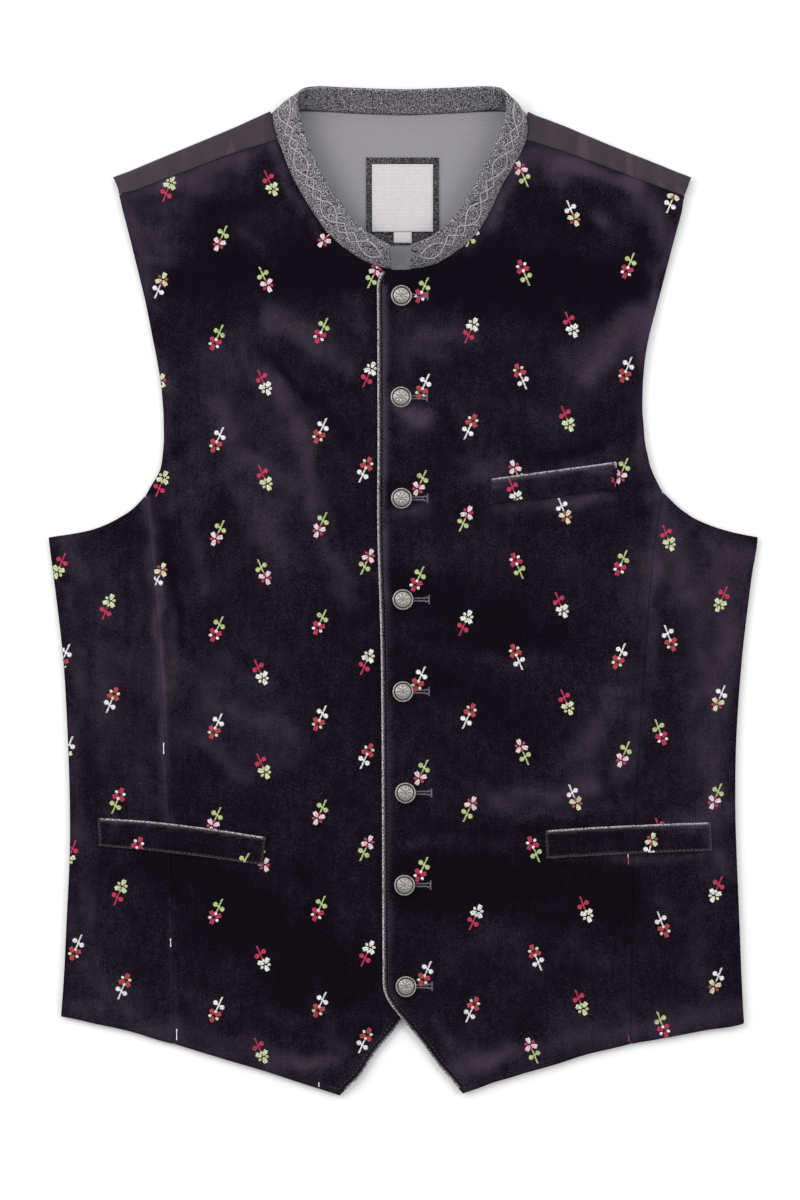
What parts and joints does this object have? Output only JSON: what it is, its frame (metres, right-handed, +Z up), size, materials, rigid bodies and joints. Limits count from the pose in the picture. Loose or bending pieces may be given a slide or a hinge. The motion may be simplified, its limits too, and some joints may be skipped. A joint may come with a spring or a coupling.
{
  "type": "waistcoat",
  "caption": "Men's folk waistcoat laid flat: dark velvet fronts with embroidered flowers, grey felt stand collar, domed metal buttons, welt pockets and a satin back.",
  "frame": {"origin": "on the surface that the waistcoat lies on, at the middle of its width and length", "axes": "+X towards the wearer's left, +Y up the garment towards the collar, +Z up off the surface, out of the front"},
  "size_m": [0.4876, 0.6941, 0.0236],
  "materials": {
    "velvet": "short pile, very dark aubergine",
    "back_satin": "smooth satin",
    "lining_twill": "fine twill",
    "collar_felt": "mottled felt",
    "patch_felt": "felt",
    "label_weave": "plain woven tape",
    "button_metal": "antiqued silver colour"
  },
  "bodies": {
    "root": {"back": "back_satin", "back_lining": "lining_twill", "front_left": "velvet", "front_right": "velvet", "side_left": "velvet", "side_right": "velvet", "collar": "collar_felt", "welt_chest": "velvet", "welt_left": "velvet", "welt_right": "velvet", "label_patch": "patch_felt", "label": "label_weave", "size_tag": "label_weave", "button_1": "button_metal", "button_2": "button_metal", "button_3": "button_metal", "button_4": "button_metal", "button_5": "button_metal", "button_6": "button_metal", "button_7": "button_metal", "button_8": "button_metal"}
  },
  "joints": []
}
